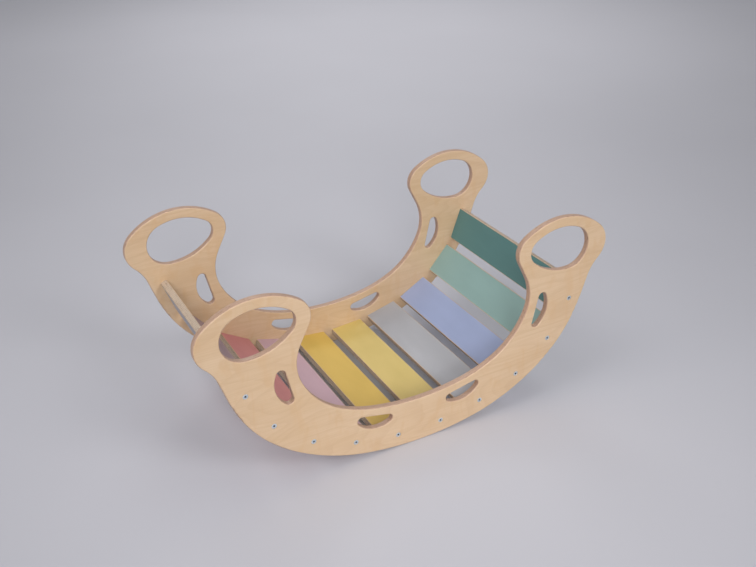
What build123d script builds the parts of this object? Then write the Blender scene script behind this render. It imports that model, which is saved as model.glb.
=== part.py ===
from build123d import *
import math
import os

# A child's rocking seesaw in birch plywood: two identical curved side panels with a handle ring
# at each end, joined by ten flat painted slats that follow the rocking curve.
# Millimetres. X is the long axis, Y runs from one side panel to the other, +Z is up. The origin
# is on the floor, under the middle, where the rocking curve touches it.

# ---- sheet stock -------------------------------------------------------------------------
SHEET = 15.0            # plywood thickness of the side panels and the slats
PANEL_ROUND = 3.0       # rounded edges of the side panels and of every hole in them
SLAT_ROUND = 1.0        # rounded long edges of the slats

# ---- slats -------------------------------------------------------------------------------
SLAT_LENGTH = 437.0     # clear width between the side panels
SLAT_WIDTH = 81.0
BOLT_INSET = 31.25      # from the rocking curve in to the bolt line
SLAT_SPOTS = (          # bolts, middle outwards: distance along the bolt line, and height off it
    (52.3, -1.2),
    (154.0, 0.1),
    (255.9, -1.2),
    (362.4, 1.3),
    (464.7, 0.4),
)
SLAT_COLOURS = ("lilac", "plum", "red", "pink", "amber", "yellow", "grey", "blue", "mint", "teal")

# ---- half outline of a side panel ----------------------------------------------------------
# Tangent arcs (radius, sweep in degrees), from the lowest point outwards and up. A left turn is
# positive. A straight run has radius 0 and its length in place of the sweep.
ROCKING_CURVE = (
    (681.0, 10.3),      # flat middle of the rocking curve
    (436.0, 25.8),
    (309.0, 35.7),      # tighter end of the rocking curve
    (0.0, 49.0),        # straight flank
)
HANDLE_RING = (
    (-92.0, -28.6),     # notch under the handle
    (53.0, 93.9),       # outer corner of the handle ring
    (156.0, 78.2),      # crown of the handle ring
    (44.0, 81.5),       # inner corner of the handle ring
)
SEAT_CURVE = (
    (0.0, 42.0),        # straight throat below the ring
    (-103.0, -49.9),
    (-182.0, -39.5),
    (-290.0, -15.8),    # the last arc, to the middle, is worked out
)

# ---- handle hole: an egg of tangent arcs ---------------------------------------------------
HANDLE_START = (389.4, 412.9)
HANDLE_HEADING = 157.0
HANDLE_ARCS = (
    (114.5, 56.1),      # top
    (30.0, 102.4),      # narrow inner end
    (128.5, 46.6),      # underside; the round outer end is worked out
)

# ---- hand-holes: a chord and a bulge with rounded corners ----------------------------------
HAND_CHORD = 105.2      # chord between the sharp corners
HAND_BULGE = 29.8       # height of the bulge above the chord
HAND_CORNER = 9.5
HAND_HOLES = (          # middle of the chord, and the way the chord runs in degrees
    ((289.6, 238.4), -102.7),   # below the handle
    ((104.5, 99.5), -167.8),    # beside the middle
)

# ---- fasteners -----------------------------------------------------------------------------
BOLT_DIAMETER = 6.0
BOLT_LENGTH = 50.0
HEAD_DIAMETER = 11.0
HEAD_RIM = 0.5          # straight edge of the countersunk head
HEAD_RECESS = 0.3       # head below the panel's face
SOCKET_FLATS = 4.0
SOCKET_DEPTH = 2.6
BOLT_CHAMFER = 0.8
BOLT_HOLE = 6.5
HEAD_HOLE = 11.4        # mouth of the countersink
BOLT_HOLE_DEPTH = 37.0  # in the slat's end

NUT_DIAMETER = 10.0
NUT_LENGTH = 12.0
NUT_THREAD = 6.1
NUT_FROM_END = 30.0     # from the slat's end to the barrel nut's axis
NUT_RECESS = 0.3        # nut below the slat's outer face
NUT_HOLE = 10.2
NUT_HOLE_DEPTH = 12.6
NUT_CHAMFER = 0.5
SLOT_WIDTH = 1.2
SLOT_DEPTH = 1.0

DOWEL_DIAMETER = 8.0
DOWEL_LENGTH = 30.0
DOWEL_SPACING = 52.0    # between the two dowels of a slat's end
DOWEL_HOLE = 8.1
DOWEL_IN_PANEL = 8.5
DOWEL_BOTTOM_GAP = 0.5
DOWEL_CHAMFER = 0.8

CUT_PAST = 1.0          # a cut runs this far past the face it starts from
NUT_CUT_LENGTH = 2 * NUT_DIAMETER     # a cut right across a barrel nut

PANEL_FACE = SLAT_LENGTH / 2          # inner face of a side panel, from the middle
OUTER_FACE = PANEL_FACE + SHEET       # outer face of a side panel
SIDES = (("front", -1), ("back", 1))


def tangent_arcs(start, heading, steps):
    """The edges of a run of arcs and straights, each tangent to the one before."""
    point = Vector(*start)
    direction = Vector(1, 0).rotate(Axis.Z, heading)
    edges = []
    for radius, size in steps:
        if radius == 0:
            edge = Line(point, point + direction * size)
        else:
            edge = JernArc(point, direction, abs(radius), size)
        edges.append(edge)
        point = edge @ 1
        direction = edge % 1
    return edges


def panel_outline():
    """The closed outline of a side panel, X to the right and Z up, as a face."""
    half = tangent_arcs((0, 0), 0, ROCKING_CURVE + HANDLE_RING + SEAT_CURVE)
    end = half[-1] @ 1
    direction = half[-1] % 1
    # the last arc is tangent to the seat curve and level where it meets the middle
    half.append(JernArc(end, direction, -end.X / direction.Y,
                        -math.degrees(math.atan2(-direction.Y, -direction.X))))
    other_half = [edge.mirror(Plane.YZ) for edge in half]
    return make_face(half + other_half)


def handle_hole():
    """The egg-shaped hole of a handle ring, closed by an arc back to its start."""
    edges = tangent_arcs(HANDLE_START, HANDLE_HEADING, HANDLE_ARCS)
    edges.append(TangentArc(edges[-1] @ 1, HANDLE_START, tangent=edges[-1] % 1))
    return make_face(edges)


def hand_hole(middle, direction):
    """A D-shaped hole whose bulge is to the left of the way its chord runs."""
    left = (-HAND_CHORD / 2, 0)
    right = (HAND_CHORD / 2, 0)
    blank = make_face([Line(left, right), ThreePointArc(right, (0, HAND_BULGE), left)])
    rounded = fillet(blank.vertices(), HAND_CORNER)
    return Location((middle[0], middle[1], 0), (0, 0, direction)) * rounded


def slat_places():
    """The bolt's X and Z, and the slope in degrees, for each slat from -X to +X."""
    inner_steps = []
    for radius, size in ROCKING_CURVE:
        inner_steps.append((radius - BOLT_INSET if radius else 0, size))
    bolt_line = Wire(tangent_arcs((0, BOLT_INSET), 0, inner_steps))
    right_half = []
    for distance, height in SLAT_SPOTS:
        along = bolt_line.tangent_at(distance, position_mode=PositionMode.LENGTH)
        point = bolt_line.position_at(distance, position_mode=PositionMode.LENGTH)
        point += along.rotate(Axis.Z, 90) * height
        right_half.append((point.X, point.Y, math.degrees(math.atan2(along.Y, along.X))))
    left_half = [(-x, z, -slope) for x, z, slope in reversed(right_half)]
    return left_half + right_half


def slat_frame(place):
    """A slat's own frame: X across the slat, Y along it, +Z out of its inner face."""
    x, z, slope = place
    return Location((x, 0, z), (0, -slope, 0))


def end_frame(place, side):
    """A joint's frame: origin on the bolt axis in the panel's inner face, +Z outwards."""
    turn = -90 * side
    return slat_frame(place) * Location((0, side * PANEL_FACE, 0), (turn, 0, 0))


def rod(diameter, bottom, top, chamfer_size=0.0):
    """A round rod on the local Z axis."""
    body = Pos(0, 0, (bottom + top) / 2) * Cylinder(diameter / 2, top - bottom)
    if chamfer_size:
        body = chamfer(body.edges().filter_by(GeomType.CIRCLE), chamfer_size)
    return body


def countersink(diameter, rim, top):
    """A countersunk head or its seat: a 90 degree cone under a short rim."""
    depth = (diameter - BOLT_DIAMETER) / 2
    cone = Pos(0, 0, top - rim - depth / 2) * Cone(BOLT_DIAMETER / 2, diameter / 2, depth)
    return cone + rod(diameter, top - rim, top)


def dowel_spots():
    """The two dowel axes of a slat's end, either side of the bolt."""
    return [Pos(offset, 0, 0) for offset in (-DOWEL_SPACING / 2, DOWEL_SPACING / 2)]


def side_panel(side, places):
    """One side panel, with its rounded edges, bolt holes and blind dowel holes."""
    profile = panel_outline()
    holes = [handle_hole()]
    for middle, direction in HAND_HOLES:
        holes.append(hand_hole(middle, direction))
    for hole in holes:
        profile -= [hole, hole.mirror(Plane.YZ)]
    blank = extrude(profile, SHEET)
    rims = blank.faces().filter_by(Axis.Z).edges()
    blank = fillet(rims, PANEL_ROUND)
    # Plane.XZ looks along -Y, so the blank grows towards the front
    panel = Pos(0, OUTER_FACE if side > 0 else -PANEL_FACE, 0) * (Plane.XZ * blank)
    dowel_depth = DOWEL_IN_PANEL + DOWEL_BOTTOM_GAP
    for place in places:
        joint = end_frame(place, side)
        cuts = [joint * rod(BOLT_HOLE, -CUT_PAST, SHEET + CUT_PAST)]
        cuts.append(joint * countersink(HEAD_HOLE, HEAD_RIM + HEAD_RECESS, SHEET))
        for spot in dowel_spots():
            cuts.append(joint * spot * rod(DOWEL_HOLE, -CUT_PAST, dowel_depth))
        panel -= cuts
    return panel


def slat(place):
    """One slat, bored at both ends for its bolts, barrel nuts and dowels."""
    board = Box(SLAT_WIDTH, SLAT_LENGTH, SHEET)
    board = fillet(board.edges().filter_by(Axis.Y), SLAT_ROUND)
    body = slat_frame(place) * board
    dowel_depth = DOWEL_LENGTH - DOWEL_IN_PANEL + DOWEL_BOTTOM_GAP
    for _, side in SIDES:
        joint = end_frame(place, side)
        cuts = [joint * rod(BOLT_HOLE, -BOLT_HOLE_DEPTH, CUT_PAST)]
        cuts.append(nut_frame(place, side) * rod(NUT_HOLE, -NUT_HOLE_DEPTH, CUT_PAST))
        for spot in dowel_spots():
            cuts.append(joint * spot * rod(DOWEL_HOLE, -dowel_depth, CUT_PAST))
        body -= cuts
    return body


def nut_frame(place, side):
    """A barrel nut's frame: origin in the slat's outer face, +Z out of it."""
    along = side * (PANEL_FACE - NUT_FROM_END)
    return slat_frame(place) * Location((0, along, -SHEET / 2), (180, 0, 0))


def bolt(joint):
    """A countersunk bolt with a hexagon socket, from the panel into the slat."""
    top = SHEET - HEAD_RECESS
    body = rod(BOLT_DIAMETER, top - BOLT_LENGTH, top - HEAD_RIM, BOLT_CHAMFER)
    body += countersink(HEAD_DIAMETER, HEAD_RIM, top)
    socket = RegularPolygon(SOCKET_FLATS / 2, 6, major_radius=False)
    body -= Pos(0, 0, top - SOCKET_DEPTH) * extrude(socket, SOCKET_DEPTH + CUT_PAST)
    return joint * body


def barrel_nut(place, side):
    """A barrel nut lying across the bolt, with a screwdriver slot in its outer end."""
    body = rod(NUT_DIAMETER, -NUT_RECESS - NUT_LENGTH, -NUT_RECESS, NUT_CHAMFER)
    cross = Pos(0, 0, -SHEET / 2) * Rot(90, 0, 0) * Cylinder(NUT_THREAD / 2, NUT_CUT_LENGTH)
    # the slot's box is centred on the nut's end, so half of it cuts
    slot = Pos(0, 0, -NUT_RECESS) * Box(SLOT_WIDTH, NUT_CUT_LENGTH, 2 * SLOT_DEPTH)
    return nut_frame(place, side) * (body - cross - slot)


def dowels(joint):
    """The two wooden dowels of a slat's end."""
    pin = rod(DOWEL_DIAMETER, DOWEL_IN_PANEL - DOWEL_LENGTH, DOWEL_IN_PANEL, DOWEL_CHAMFER)
    return [joint * spot * pin for spot in dowel_spots()]


def write(name, solids):
    """Write one node, a single solid or a group of separate solids, to its STEP file."""
    bodies = []
    for shape in solids:
        bodies += shape.solids()
    node = bodies[0] if len(bodies) == 1 else Compound(children=bodies)
    node.label = name
    export_step(node, "parts/" + name + ".step")


def main():
    os.makedirs("parts", exist_ok=True)
    places = slat_places()
    for name, side in SIDES:
        write("side_panel_" + name, [side_panel(side, places)])
    for number, (colour, place) in enumerate(zip(SLAT_COLOURS, places), start=1):
        tag = f"{number:02d}"
        joints = [end_frame(place, side) for _, side in SIDES]
        pins = []
        for joint in joints:
            pins += dowels(joint)
        write("slat_" + tag + "_" + colour, [slat(place)])
        write("bolts_" + tag, [bolt(joint) for joint in joints])
        write("barrel_nuts_" + tag, [barrel_nut(place, side) for _, side in SIDES])
        write("dowels_" + tag, pins)


main()
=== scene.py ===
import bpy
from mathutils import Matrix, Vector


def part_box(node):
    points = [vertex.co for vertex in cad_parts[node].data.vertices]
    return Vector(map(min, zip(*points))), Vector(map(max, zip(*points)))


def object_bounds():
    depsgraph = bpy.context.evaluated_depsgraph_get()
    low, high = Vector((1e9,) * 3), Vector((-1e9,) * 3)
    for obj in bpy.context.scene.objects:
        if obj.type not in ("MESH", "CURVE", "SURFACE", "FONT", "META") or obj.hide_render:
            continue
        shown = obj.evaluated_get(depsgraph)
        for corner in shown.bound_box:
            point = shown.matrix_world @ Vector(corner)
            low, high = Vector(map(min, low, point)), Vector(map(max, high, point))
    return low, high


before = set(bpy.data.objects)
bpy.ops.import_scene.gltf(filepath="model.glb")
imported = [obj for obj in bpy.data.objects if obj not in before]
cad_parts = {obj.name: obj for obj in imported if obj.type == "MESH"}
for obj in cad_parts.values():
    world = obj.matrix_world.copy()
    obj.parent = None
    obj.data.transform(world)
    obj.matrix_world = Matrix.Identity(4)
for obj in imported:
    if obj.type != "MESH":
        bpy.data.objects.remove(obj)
cad_box = [list(corner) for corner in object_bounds()]

import math

import bpy
from mathutils import Matrix, Vector

# Looks for the rocking seesaw: lacquered birch plywood side panels, painted plywood slats with
# bare edges, zinc-plated bolts and barrel nuts, and beech dowels. Places are in metres, in the
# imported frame. Lengths inside the materials are in millimetres, and colours are linear.

X = Vector((1, 0, 0))
Y = Vector((0, 1, 0))
Z = Vector((0, 0, 1))
MM = 1000.0                 # millimetres in a metre

# ---- camera ----------------------------------------------------------------------------
CAMERA_PLACE = (-0.8386, -1.6335, 1.2658)
CAMERA_AZIMUTH = -27.96     # degrees, 0 looks along +Y
CAMERA_ELEVATION = 28.42    # degrees that it looks down
CAMERA_ROLL = -0.94
CAMERA_LENS = 44.94         # millimetres
CAMERA_SENSOR = 36.0

# ---- studio ----------------------------------------------------------------------------
FLOOR_HALF = 12.0
FLOOR_COLOUR = (0.58, 0.572, 0.615)
FLOOR_SHADE = 0.97          # how dark the floor's faint clouds are
FLOOR_ROUGHNESS = 0.75
FLOOR_BUMP = (0.0001, 0.1)
WORLD_COLOUR = (0.95, 0.965, 1.0)
WORLD_STRENGTH = 0.42
# azimuth and elevation in degrees, distance and size in metres, spread in degrees, power in watts
SOFTBOXES = {
    "light_right": (20.0, 34.0, 4.5, 1.7, 44.0, 4.3),
    "light_front": (-22.0, 26.0, 4.5, 1.8, 40.0, 5.6),
    "light_left": (-82.0, 50.0, 4.5, 2.8, 46.0, 4.1),
    "light_far_left": (-92.0, 22.0, 4.5, 1.3, 70.0, 2.5),
    "light_behind": (165.0, 42.0, 4.5, 1.6, 70.0, 2.5),
}
# a wide lamp straight above the floor behind the seesaw, as on a lit studio sweep
BACK_LAMP_AZIMUTH = 152.0
BACK_LAMP_REACH = 3.6
BACK_LAMP_HEIGHT = 3.2
BACK_LAMP_CONE = 100.0
BACK_LAMP_BLEND = 1.0
BACK_LAMP_RADIUS = 0.5
BACK_LAMP_POWER = 205.0

# ---- how the groups of numbers below read ----------------------------------------------
# noise: its cycles per millimetre in three directions, then its detail, roughness and distortion
# step:  the two values of a noise between which a figure comes in
# bump:  the relief's height in metres, then its strength
# rough: the least and the most roughness
MOST = (0.3, 0.7)           # the step that takes in most of a noise's values
SEEDS = 97                  # a node's name picks one of this many seeds for its noises

# ---- the plies -------------------------------------------------------------------------
SHEET = 15.0
SLAT_WIDTH = 81.0
PLIES = 11
PLY = SHEET / PLIES
PLY_SEED = 3.7              # from one ply's seed to the next one's
INSIDE = 0.01               # keeps the surface of a face within its own ply
GLUE_HALF = 0.05            # half the thickness of a glue line
GLUE_FADE = (0.6, 1.6)      # a glue line fades out between these multiples of its half
GLUE_STRENGTH = 0.85
FACE_SKIN = 0.3             # no glue line is nearer to a face than this

# ---- birch -----------------------------------------------------------------------------
BIRCH_LIGHT = (0.69, 0.502, 0.328)
BIRCH_WARM = (0.635, 0.443, 0.268)
BIRCH_CURL = (0.62, 0.397, 0.210)
BIRCH_LINE = (0.52, 0.335, 0.190)
BIRCH_PORE = (0.34, 0.20, 0.115)
GLUE = (0.20, 0.115, 0.075)
KNOT = (0.25, 0.145, 0.09)
# noises along the grain, across it and deep into the sheet
BIRCH_NOISES = {
    "field": ((0.0026, 0.010, 0.0), 2.0, 0.4, 0.3),
    "cloud": ((0.005, 0.022, 0.0), 3.0, 0.55, 0.0),
    "curl": ((0.034, 0.012, 0.0), 2.0, 0.55, 0.8),
    "fibre": ((0.03, 1.1, 1.1), 3.0, 0.6, 0.0),
    "streak": ((0.006, 0.42, 0.42), 2.0, 0.5, 0.0),
    "pore": ((0.22, 3.2, 3.2), 1.0, 0.5, 0.0),
    "knot": ((0.09, 0.30, 0.80), 1.0, 0.5, 0.0),
}
CLOUD_STEP = (0.28, 0.75)
CONTOURS = 17.0             # contour lines over the whole range of the field
CONTOUR_RISE = (0.35, 0.92)
CONTOUR_FALL = (1.0, 0.94)
CONTOUR_STRENGTH = 0.20
STREAK_STEP = (0.40, 0.72)
STREAK_STRENGTH = 0.20
CURL_STEP = (0.50, 0.68)
CURL_STRENGTH = 0.42
FIBRE_STEP = (0.3, 0.75)
FIBRE_STRENGTH = 0.20
FIBRE_HEIGHT = 0.5          # of the fibres, where a pore is 1 deep
PORE_STEP = (0.67, 0.76)
PORE_STRENGTH = 0.34

# ---- the edges of the plywood ----------------------------------------------------------
# an edge takes on its own tone where its normal's share of the sheet's normal falls this far
PANEL_EDGE_FALL = (0.90, 0.70)
SLAT_EDGE_FALL = (0.45, 0.15)
OILED_EDGE = (0.60, 0.395, 0.285)
OILED_END = (0.47, 0.295, 0.205)
RAW_EDGE = (0.70, 0.57, 0.44)
RAW_END = (0.48, 0.37, 0.28)
END_STEP = (0.25, 0.90)     # how squarely the grain meets the surface where it is end grain
EDGE_FIBRE_STRENGTH = 0.35
KNOT_STEP = (0.61, 0.67)
KNOT_STRENGTH = 0.8

# ---- lacquer on the side panels --------------------------------------------------------
SMEAR_NOISE = ((0.02, 0.05, 0.05), 2.0)
LACQUER_ROUGH = (0.38, 0.50)
LACQUER_BUMP = (0.00006, 0.35)
LACQUER_COAT = {"Coat Weight": 0.15, "Coat Roughness": 0.35}

# ---- paint on the slats ----------------------------------------------------------------
BARE_RIM_AND_HIGHLIGHT = 1.2          # unpainted wood between the paint and a slat's long edge; its light tone is also a painted highlight on the rounded edge
PAINT_WAVER = 0.15          # how far the paint's edge strays from there
PAINT_FADE = 0.05           # half the width over which it ends
WAVER_NOISE = ((0.25, 0.8, 0.8), 2.0)
WAVER_STEP = (0.2, 0.8)
STIPPLE_NOISE = ((1.1, 1.1, 1.1), 2.0, 0.6)
STIPPLE_STEP = (0.35, 0.7)
STIPPLE_STRENGTH = 0.12
PAINT_CLOUD_NOISE = ((0.008, 0.02, 0.02), 3.0)
PAINT_CLOUD_STRENGTH = 0.5
PAINT_SHADE = 0.86          # how dark the clouds and the stipple are
GRAIN_UNDER_PAINT = 0.3     # how much of the wood's relief shows through
PAINT_ROUGH = (0.42, 0.52)
BARE_ROUGHNESS = 0.62
PAINT_BUMP = (0.00005, 0.3)
PAINT_COAT = {"Coat Weight": 0.05, "Coat Roughness": 0.4}
PAINTS = {
    "lilac": (0.33, 0.315, 0.35),
    "plum": (0.35, 0.255, 0.30),
    "red": (0.61, 0.235, 0.235),
    "pink": (0.615, 0.41, 0.465),
    "amber": (0.71, 0.475, 0.102),
    "yellow": (0.68, 0.51, 0.16),
    "grey": (0.425, 0.425, 0.45),
    "blue": (0.36, 0.42, 0.63),
    "mint": (0.28, 0.43, 0.405),
    "teal": (0.10, 0.233, 0.228),
}

# ---- zinc-plated steel -----------------------------------------------------------------
ZINC_COOL = (0.74, 0.83, 0.88)
ZINC_PALE = (0.86, 0.93, 0.95)
TURNING_NOISE = ((9.0, 0.0, 0.0), 2.0)
BLOTCH_NOISE = ((0.02, 0.02, 0.0), 2.0)
ZINC_ROUGH = (0.26, 0.40)
ZINC_BUMP = (0.00003, 0.3)
METAL = {"Metallic": 1.0}
SOCKET_REACH = 2.5          # radius that takes in the whole hexagon socket
SOCKET_PAINTED_SHADE = (0.10, 0.13, 0.17)
SOCKET_START = 0.05         # depth below a head's face where the painted shade in the socket starts
SOCKET_FULL = 0.2           # and where it is full

# ---- beech -----------------------------------------------------------------------------
BEECH_PALE = (0.66, 0.43, 0.27)
BEECH_DARK = (0.52, 0.31, 0.18)
BEECH_FLECK = (0.30, 0.15, 0.08)
BEECH_NOISE = ((0.03, 0.9, 0.9), 3.0, 0.6)
FLECK_NOISE = ((0.5, 3.0, 3.0), 1.0)
FLECK_STEP = (0.62, 0.7)
FLECK_STRENGTH = 0.5
BEECH_ROUGHNESS = 0.6
BEECH_BUMP = (0.0001, 0.4)


class Graph:
    """A material's node tree, with one short call for each kind of node."""

    def __init__(self, name):
        self.material = bpy.data.materials.new(name)
        self.material.use_nodes = True
        self.nodes = self.material.node_tree.nodes
        self.links = self.material.node_tree.links
        self.nodes.clear()

    def add(self, kind, inputs=(), **settings):
        """A node, with its settings; an input is a plain value or another node's socket."""
        made = self.nodes.new(kind)
        for name, value in settings.items():
            setattr(made, name, value)
        for key, value in dict(inputs).items():
            if isinstance(value, bpy.types.NodeSocket):
                self.links.new(value, made.inputs[key])
            else:
                made.inputs[key].default_value = value
        return made

    def here(self):
        """The shaded point, in metres."""
        return self.add("ShaderNodeTexCoord").outputs["Object"]

    def maths(self, operation, *values):
        return self.add("ShaderNodeMath", enumerate(values), operation=operation).outputs[0]

    def along(self, vector, direction):
        """How far a vector reaches along a fixed direction."""
        inputs = {0: vector, 1: tuple(direction)}
        return self.add("ShaderNodeVectorMath", inputs, operation="DOT_PRODUCT").outputs["Value"]

    def past(self, here, middle, direction):
        """How many millimetres the point lies past the middle, along a fixed direction."""
        return self.maths("SUBTRACT", self.along(here, direction * MM), direction.dot(middle) * MM)

    def point(self, x, y, z):
        return self.add("ShaderNodeCombineXYZ", {0: x, 1: y, 2: z}).outputs[0]

    def stretched(self, place, scales):
        """A point whose three coordinates are multiplied by the scales."""
        return self.point(*[self.maths("MULTIPLY", value, scale)
                            for value, scale in zip(place, scales)])

    def noise(self, vector, seed, detail=2.0, roughness=0.5, distortion=0.0):
        inputs = {"Vector": vector, "W": seed, "Scale": 1.0, "Detail": detail,
                  "Roughness": roughness, "Distortion": distortion}
        return self.add("ShaderNodeTexNoise", inputs, noise_dimensions="4D").outputs[0]

    def drawn_out(self, place, seed, scales, *character):
        """A noise drawn out by its own scales in three directions."""
        return self.noise(self.stretched(place, scales), seed, *character)

    def ramp(self, value, low, high, start=0.0, end=1.0):
        """A smooth step from start, at low, to end, at high."""
        inputs = {0: value, 1: low, 2: high, 3: start, 4: end}
        made = self.add("ShaderNodeMapRange", inputs, interpolation_type="SMOOTHSTEP")
        return made.outputs[0]

    def blend(self, factor, first, second):
        """The first colour where the factor is 0 and the second where it is 1."""
        if isinstance(first, tuple):
            first = (*first, 1.0)
        if isinstance(second, tuple):
            second = (*second, 1.0)
        # the mix node's colours are its inputs 6 and 7 and its output 2
        inputs = {0: factor, 6: first, 7: second}
        return self.add("ShaderNodeMix", inputs, data_type="RGBA").outputs[2]

    def pick(self, factor, first, second):
        """The first number where the factor is 0 and the second where it is 1."""
        return self.add("ShaderNodeMix", {0: factor, 2: first, 3: second}).outputs[0]

    def bump(self, height, distance, strength):
        inputs = {"Height": height, "Distance": distance, "Strength": strength}
        return self.add("ShaderNodeBump", inputs).outputs[0]

    def finish(self, colour, roughness, normal, others=()):
        """The whole material, with any other inputs of its shader by name."""
        inputs = {"Base Color": colour, "Roughness": roughness, "Normal": normal}
        inputs.update(others)
        shader = self.add("ShaderNodeBsdfPrincipled", inputs)
        self.add("ShaderNodeOutputMaterial", {"Surface": shader.outputs[0]})
        return self.material


def shade(colour, amount):
    """The colour made darker, or left as it is by an amount of 1."""
    return tuple(value * amount for value in colour)


def sheet_place(graph, middle, axes):
    """Millimetres along the face grain, across it, and deep into the sheet from one face."""
    here = graph.here()
    reach, wide, out = [graph.past(here, middle, direction) for direction in axes]
    return reach, wide, graph.maths("ADD", out, SHEET / 2)


def face_colour(graph, noises, pore):
    """Birch where the grain lies in the surface."""
    # broad figure: soft clouds, and faint contour lines of a smooth field drawn out along it
    rings = graph.maths("FRACT", graph.maths("MULTIPLY", noises["field"], CONTOURS))
    line = graph.maths("MULTIPLY", graph.ramp(rings, *CONTOUR_RISE),
                       graph.ramp(rings, *CONTOUR_FALL))
    colour = graph.blend(graph.ramp(noises["cloud"], *CLOUD_STEP), BIRCH_LIGHT, BIRCH_WARM)
    colour = graph.blend(graph.maths("MULTIPLY", line, CONTOUR_STRENGTH), colour, BIRCH_LINE)
    # then streaks, curl across the grain, fibres and short dark pores
    streak = graph.ramp(noises["streak"], *STREAK_STEP, 0.0, STREAK_STRENGTH)
    colour = graph.blend(streak, colour, BIRCH_LINE)
    curl = graph.ramp(noises["curl"], *CURL_STEP, 0.0, CURL_STRENGTH)
    colour = graph.blend(curl, colour, BIRCH_CURL)
    fibre = graph.ramp(noises["fibre"], *FIBRE_STEP, 0.0, FIBRE_STRENGTH)
    colour = graph.blend(fibre, colour, BIRCH_LINE)
    return graph.blend(graph.maths("MULTIPLY", pore, PORE_STRENGTH), colour, BIRCH_PORE)


def edge_colour(graph, noises, end, tones):
    """Birch at the sheet's edges, darker still on the plies whose grain ends there."""
    edge_tone, end_tone = tones
    fibre = graph.ramp(noises["fibre"], *FIBRE_STEP, 0.0, EDGE_FIBRE_STRENGTH)
    colour = graph.blend(end, graph.blend(fibre, edge_tone, end_tone), end_tone)
    knot = graph.ramp(noises["knot"], *KNOT_STEP, 0.0, KNOT_STRENGTH)
    return graph.blend(knot, colour, KNOT)


def glue_lines(graph, depth, ply):
    """How strongly the dark glue between two plies shows."""
    part = graph.maths("FRACT", ply)
    gap = graph.maths("MINIMUM", part, graph.maths("SUBTRACT", 1.0, part))
    near, far = [GLUE_HALF / PLY * multiple for multiple in GLUE_FADE]
    glue = graph.ramp(gap, near, far, GLUE_STRENGTH, 0.0)
    inside = graph.maths("MINIMUM", depth, graph.maths("SUBTRACT", SHEET, depth))
    return graph.maths("MULTIPLY", glue, graph.ramp(inside, FACE_SKIN, FACE_SKIN * 2))


def plywood(graph, place, axes, tones, edge_fall, seed):
    """Birch plywood all through: its colour and the height of its fine relief."""
    along, across, out = axes
    reach, wide, raw_depth = place
    depth = graph.maths("MINIMUM", graph.maths("MAXIMUM", raw_depth, INSIDE), SHEET - INSIDE)
    ply = graph.maths("DIVIDE", depth, PLY)
    number = graph.maths("FLOOR", ply)
    crossed = graph.maths("MODULO", number, 2.0)
    own_seed = graph.maths("MULTIPLY_ADD", number, PLY_SEED, seed)
    # each ply's grain runs at right angles to its neighbours'
    spot = (graph.pick(crossed, reach, wide), graph.pick(crossed, wide, reach), depth)
    noises = {}
    for kind, character in BIRCH_NOISES.items():
        noises[kind] = graph.drawn_out(spot, own_seed, *character)
    pore = graph.ramp(noises["pore"], *PORE_STEP)

    facing = graph.add("ShaderNodeNewGeometry").outputs["Normal"]
    ends = [graph.maths("ABSOLUTE", graph.along(facing, way)) for way in (along, across)]
    end = graph.ramp(graph.pick(crossed, *ends), *END_STEP)
    turned = graph.ramp(graph.maths("ABSOLUTE", graph.along(facing, out)), *edge_fall)
    colour = graph.blend(turned, face_colour(graph, noises, pore),
                         edge_colour(graph, noises, end, tones))
    colour = graph.blend(glue_lines(graph, depth, ply), colour, GLUE)

    relief = graph.maths("SUBTRACT", graph.maths("MULTIPLY", noises["fibre"], FIBRE_HEIGHT), pore)
    return colour, relief


def lacquered_birch(name, middle, out, seed):
    """A side panel: clear satin lacquer over birch plywood, face grain along X."""
    graph = Graph(name)
    axes = (X, Z, out)
    place = sheet_place(graph, middle, axes)
    tones = (OILED_EDGE, OILED_END)
    colour, relief = plywood(graph, place, axes, tones, PANEL_EDGE_FALL, seed)
    smear = graph.drawn_out(place, seed, *SMEAR_NOISE)
    roughness = graph.ramp(smear, *MOST, *LACQUER_ROUGH)
    return graph.finish(colour, roughness, graph.bump(relief, *LACQUER_BUMP), LACQUER_COAT)


def painted_slat(name, middle, across, out, paint, seed):
    """A slat: paint on both faces that stops just short of the long edges; the light unpainted rim
    there is real wood and also a painted highlight.
    """
    graph = Graph(name)
    axes = (Y, across, out)
    place = sheet_place(graph, middle, axes)
    tones = (RAW_EDGE, RAW_END)
    wood, relief = plywood(graph, place, axes, tones, SLAT_EDGE_FALL, seed)
    # the paint's edge wavers slightly
    margin = graph.maths("SUBTRACT", SLAT_WIDTH / 2, graph.maths("ABSOLUTE", place[1]))
    waver = graph.drawn_out(place, seed, *WAVER_NOISE)
    reach = graph.ramp(waver, *WAVER_STEP, BARE_RIM_AND_HIGHLIGHT - PAINT_WAVER, BARE_RIM_AND_HIGHLIGHT + PAINT_WAVER)
    # the light unpainted rim is real wood and also a painted highlight along the rounded edge
    bare_rim_and_highlight = graph.ramp(graph.maths("SUBTRACT", margin, reach), -PAINT_FADE, PAINT_FADE, 1.0, 0.0)
    stipple = graph.drawn_out(place, seed, *STIPPLE_NOISE)
    cloud = graph.drawn_out(place, seed, *PAINT_CLOUD_NOISE)
    darker = shade(paint, PAINT_SHADE)
    coat = graph.blend(graph.ramp(cloud, *MOST, 0.0, PAINT_CLOUD_STRENGTH), paint, darker)
    coat = graph.blend(graph.ramp(stipple, *STIPPLE_STEP, 0.0, STIPPLE_STRENGTH), coat, darker)
    height = graph.maths("MULTIPLY_ADD", relief, GRAIN_UNDER_PAINT, stipple)
    roughness = graph.pick(bare_rim_and_highlight, graph.ramp(cloud, *MOST, *PAINT_ROUGH), BARE_ROUGHNESS)
    normal = graph.bump(graph.pick(bare_rim_and_highlight, height, relief), *PAINT_BUMP)
    return graph.finish(graph.blend(bare_rim_and_highlight, coat, wood), roughness, normal, PAINT_COAT)


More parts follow.
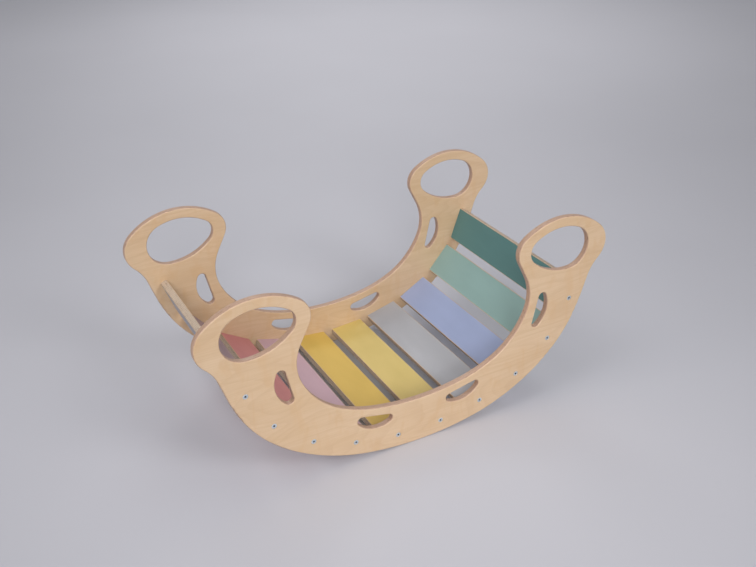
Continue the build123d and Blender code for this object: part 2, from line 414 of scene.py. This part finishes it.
def zinc(name, middle, axis, seed, socket_face=None):
    """Bright zinc-plated steel, with fine turning marks round the axis.

    Where there are sockets, socket_face is how many millimetres the heads' faces stand from the
    frame's middle, and inside a socket, below its face, the steel is painted dark as shade in the
    recess.
    """
    graph = Graph(name)
    here = graph.here()
    first = axis.orthogonal().normalized()
    second = axis.cross(first).normalized()
    spans = [graph.past(here, middle, direction) for direction in (first, second)]
    squares = [graph.maths("MULTIPLY", span, span) for span in spans]
    radius = graph.maths("SQRT", graph.maths("ADD", *squares))
    turning = graph.drawn_out((radius, 0.0, 0.0), seed, *TURNING_NOISE)
    blotch = graph.drawn_out((*spans, 0.0), seed, *BLOTCH_NOISE)
    colour = graph.blend(graph.ramp(blotch, *MOST), ZINC_COOL, ZINC_PALE)
    # inside each socket's recess the steel is painted dark: painted shade
    if socket_face is not None:
        reach = graph.maths("ABSOLUTE", graph.along(here, axis * MM))
        inside = graph.maths("LESS_THAN", radius, SOCKET_REACH)
        socket_shade = graph.ramp(reach, socket_face - SOCKET_FULL, socket_face - SOCKET_START, 1.0, 0.0)
        colour = graph.blend(graph.maths("MULTIPLY", inside, socket_shade), colour, SOCKET_PAINTED_SHADE)
    roughness = graph.ramp(turning, *MOST, *ZINC_ROUGH)
    return graph.finish(colour, roughness, graph.bump(turning, *ZINC_BUMP), METAL)


def beech(name, seed):
    """Plain turned beech, with its short dark flecks, grain along Y."""
    graph = Graph(name)
    here = graph.here()
    place = [graph.along(here, direction * MM) for direction in (Y, X, Z)]
    grain = graph.drawn_out(place, seed, *BEECH_NOISE)
    fleck = graph.drawn_out(place, seed, *FLECK_NOISE)
    colour = graph.blend(graph.ramp(grain, *MOST), BEECH_PALE, BEECH_DARK)
    colour = graph.blend(graph.ramp(fleck, *FLECK_STEP, 0.0, FLECK_STRENGTH), colour, BEECH_FLECK)
    return graph.finish(colour, BEECH_ROUGHNESS, graph.bump(grain, *BEECH_BUMP))


def dress(node, material):
    """Give a CAD node its material in every slot."""
    mesh_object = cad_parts[node]
    if not mesh_object.material_slots:
        mesh_object.data.materials.append(material)
    for slot in mesh_object.material_slots:
        slot.material = material


def middle_of(node):
    """The middle of a node's box."""
    low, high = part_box(node)
    return (low + high) / 2


def slat_axes(node):
    """A slat's middle, and the directions across it and out of its inner face."""
    widest = max(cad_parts[node].data.polygons, key=lambda face: face.area)
    out = widest.normal.normalized()
    if out.z < 0:
        out.negate()
    return middle_of(node), Vector((out.z, 0, -out.x)), out


def dress_all():
    for node in sorted(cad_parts):
        seed = float(sum(ord(letter) for letter in node) % SEEDS)
        if node.startswith("side_panel"):
            middle = middle_of(node)
            out = Y * math.copysign(1, middle.y)
            dress(node, lacquered_birch(node, middle, out, seed))
        elif node.startswith("slat"):
            colour = node.split("_")[-1]
            dress(node, painted_slat(node, *slat_axes(node), PAINTS[colour], seed))
        elif node.startswith("bolts"):
            socket_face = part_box(node)[1].y * MM
            dress(node, zinc(node, middle_of(node), Y, seed, socket_face))
        elif node.startswith("barrel_nuts"):
            slat = next(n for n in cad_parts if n.startswith("slat_" + node[-2:]))
            dress(node, zinc(node, middle_of(node), slat_axes(slat)[2], seed))
        else:
            dress(node, beech(node, seed))


def studio_floor():
    """A wide pale floor under the seesaw."""
    half = FLOOR_HALF
    mesh = bpy.data.meshes.new("floor")
    corners = [(-half, -half, 0), (half, -half, 0), (half, half, 0), (-half, half, 0)]
    mesh.from_pydata(corners, [], [(0, 1, 2, 3)])
    floor = bpy.data.objects.new("floor", mesh)
    bpy.context.scene.collection.objects.link(floor)
    graph = Graph("floor")
    cloud = graph.noise(graph.here(), 0.0)
    colour = graph.blend(graph.ramp(cloud, *MOST), FLOOR_COLOUR, shade(FLOOR_COLOUR, FLOOR_SHADE))
    mesh.materials.append(graph.finish(colour, FLOOR_ROUGHNESS, graph.bump(cloud, *FLOOR_BUMP)))


def away(azimuth, elevation):
    """The direction from the object to something at that azimuth and elevation."""
    turn = math.radians(azimuth)
    rise = math.radians(elevation)
    return Vector((math.sin(turn) * math.cos(rise), -math.cos(turn) * math.cos(rise),
                   math.sin(rise)))


def place_light(light):
    """Put a light's data in the scene, on a lamp of the same name."""
    lamp = bpy.data.objects.new(light.name, light)
    bpy.context.scene.collection.objects.link(lamp)
    return lamp


def studio_lights():
    """An even sky, the softboxes round the seesaw and the lamp behind it."""
    world = bpy.data.worlds.new("studio")
    world.use_nodes = True
    sky = world.node_tree.nodes["Background"]
    sky.inputs["Color"].default_value = (*WORLD_COLOUR, 1.0)
    sky.inputs["Strength"].default_value = WORLD_STRENGTH
    bpy.context.scene.world = world
    target = Z * cad_box[1][2] / 2
    for name, (azimuth, elevation, distance, size, spread, power) in SOFTBOXES.items():
        light = bpy.data.lights.new(name, "AREA")
        light.shape = "DISK"
        light.size = size
        light.spread = math.radians(spread)
        light.energy = power
        direction = away(azimuth, elevation)
        lamp = place_light(light)
        lamp.location = target + direction * distance
        lamp.rotation_euler = direction.to_track_quat("Z", "Y").to_euler()
    light = bpy.data.lights.new("light_back", "SPOT")
    light.spot_size = math.radians(BACK_LAMP_CONE)
    light.spot_blend = BACK_LAMP_BLEND
    light.shadow_soft_size = BACK_LAMP_RADIUS
    light.energy = BACK_LAMP_POWER
    lamp = place_light(light)
    lamp.location = away(BACK_LAMP_AZIMUTH, 0.0) * BACK_LAMP_REACH + Z * BACK_LAMP_HEIGHT


def studio_camera():
    """The camera, in front and to the left, looking down."""
    back = away(CAMERA_AZIMUTH, CAMERA_ELEVATION)
    level = Z.cross(back).normalized()
    axes = Matrix((level, back.cross(level), back)).transposed()
    data = bpy.data.cameras.new("camera")
    data.lens = CAMERA_LENS
    data.sensor_width = CAMERA_SENSOR
    camera = bpy.data.objects.new("camera", data)
    roll = Matrix.Rotation(math.radians(CAMERA_ROLL), 3, "Z")
    camera.matrix_world = Matrix.Translation(CAMERA_PLACE) @ (axes @ roll).to_4x4()
    bpy.context.scene.collection.objects.link(camera)
    bpy.context.scene.camera = camera


dress_all()
studio_floor()
studio_lights()
studio_camera()
bpy.context.scene.view_settings.view_transform = "Standard"
